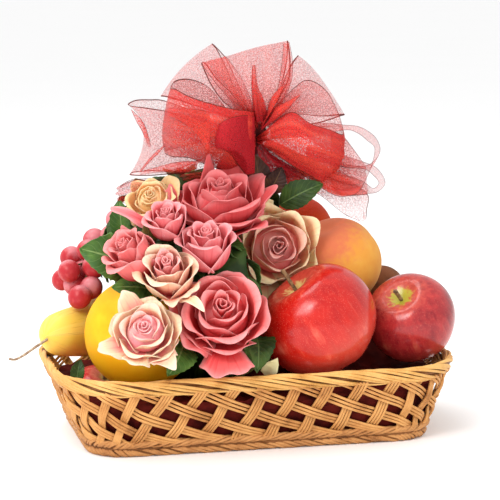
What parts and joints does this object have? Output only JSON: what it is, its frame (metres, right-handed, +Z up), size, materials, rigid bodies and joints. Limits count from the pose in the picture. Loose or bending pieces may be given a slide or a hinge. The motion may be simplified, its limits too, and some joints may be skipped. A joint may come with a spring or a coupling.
{
  "type": "fruit gift basket",
  "caption": "Shallow rattan basket filled with fruit, silk roses and leaves, with a large sheer ribbon bow on top.",
  "frame": {"origin": "middle of the basket's underside, which rests on the table", "axes": "+Z up, +X along the basket's length to the right seen from the front, and the front, where the roses are, faces -Y"},
  "size_m": [0.3388, 0.2206, 0.2953],
  "materials": {
    "rattan": "bare split rattan, satin",
    "apple_skin": "waxy red apple skin",
    "mango_skin": "smooth yellow mango skin",
    "peach_skin": "downy peach skin with a red blush",
    "orange_skin": "pitted citrus skin",
    "kiwi_skin": "fuzzy brown skin",
    "pear_skin": "pale yellow pear skin",
    "grape_skin": "red grape skin with a pale bloom",
    "leaf_green": "green cloth leaf",
    "rose_deep": "dusty deep pink silk petals",
    "rose_pink": "pink silk petals",
    "rose_cream": "cream silk petals blushed with pink",
    "cream_paper": "cream tissue paper",
    "maroon_paper": "dark maroon crumpled paper",
    "sheer_ribbon": "sheer coral red organza"
  },
  "bodies": {
    "root": {"apple_front": "apple_skin", "apple_right": "apple_skin", "apple_small": "apple_skin", "basket_floor": "rattan", "basket_foot": "rattan", "basket_lattice": "rattan", "basket_rim": "rattan", "filler_bed": "maroon_paper", "foliage_core": "leaf_green", "grapes": "grape_skin", "kiwi": "kiwi_skin", "leaf_back_1": "leaf_green", "leaf_back_2": "leaf_green", "leaf_back_3": "leaf_green", "leaf_back_4": "leaf_green", "leaf_below_rose": "leaf_green", "leaf_front": "leaf_green", "leaf_left": "leaf_green", "leaf_right": "leaf_green", "leaf_sepal": "leaf_green", "leaf_under_bud": "leaf_green", "leaf_under_pear": "leaf_green", "leaf_upper_left": "leaf_green", "mango": "mango_skin", "orange": "orange_skin", "paper_corner": "cream_paper", "peach": "peach_skin", "pear": "pear_skin", "ribbon_bow": "sheer_ribbon", "rose_back_left": "rose_cream", "rose_blush": "rose_cream", "rose_bud": "rose_pink", "rose_bud_left": "rose_deep", "rose_large": "rose_deep", "rose_peach": "rose_cream", "rose_small": "rose_pink", "rose_tan": "rose_cream", "rose_top": "rose_deep"}
  },
  "joints": []
}
